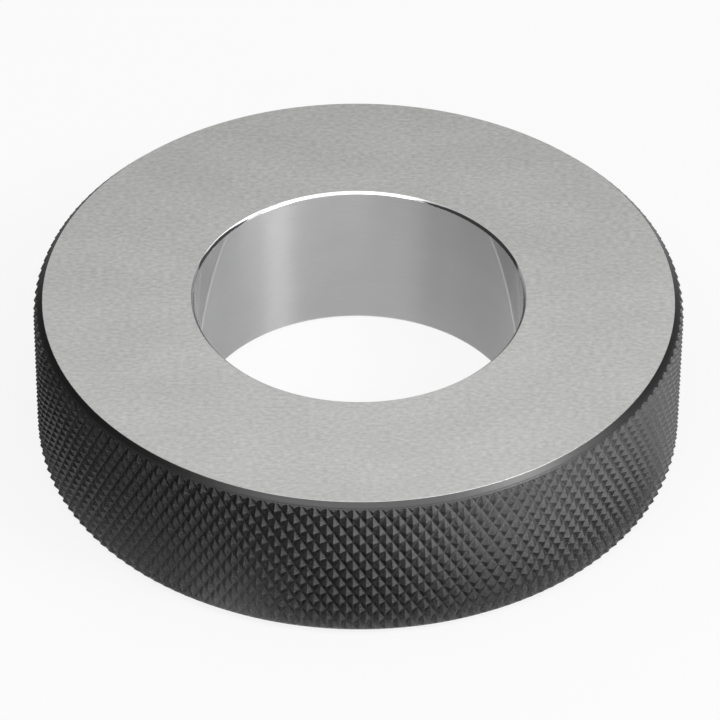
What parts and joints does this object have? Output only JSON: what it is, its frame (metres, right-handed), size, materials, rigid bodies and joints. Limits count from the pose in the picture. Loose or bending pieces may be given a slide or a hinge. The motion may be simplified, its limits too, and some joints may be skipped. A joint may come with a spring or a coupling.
{
  "type": "setting ring gauge",
  "caption": "Plain steel setting ring with a honed through bore, ground faces, chamfered edges and a diamond-knurled outer grip.",
  "frame": {"origin": "centre of the lower face, on the axis of the bore", "axes": "+Z along the axis of the bore, from the lower face to the upper face; X and Y lie in the lower face"},
  "size_m": [0.071, 0.071, 0.018],
  "materials": {
    "steel": "satin ground faces, honed bore, blackened knurl and edge chamfers"
  },
  "bodies": {
    "root": {"setting_ring": "steel"}
  },
  "joints": []
}
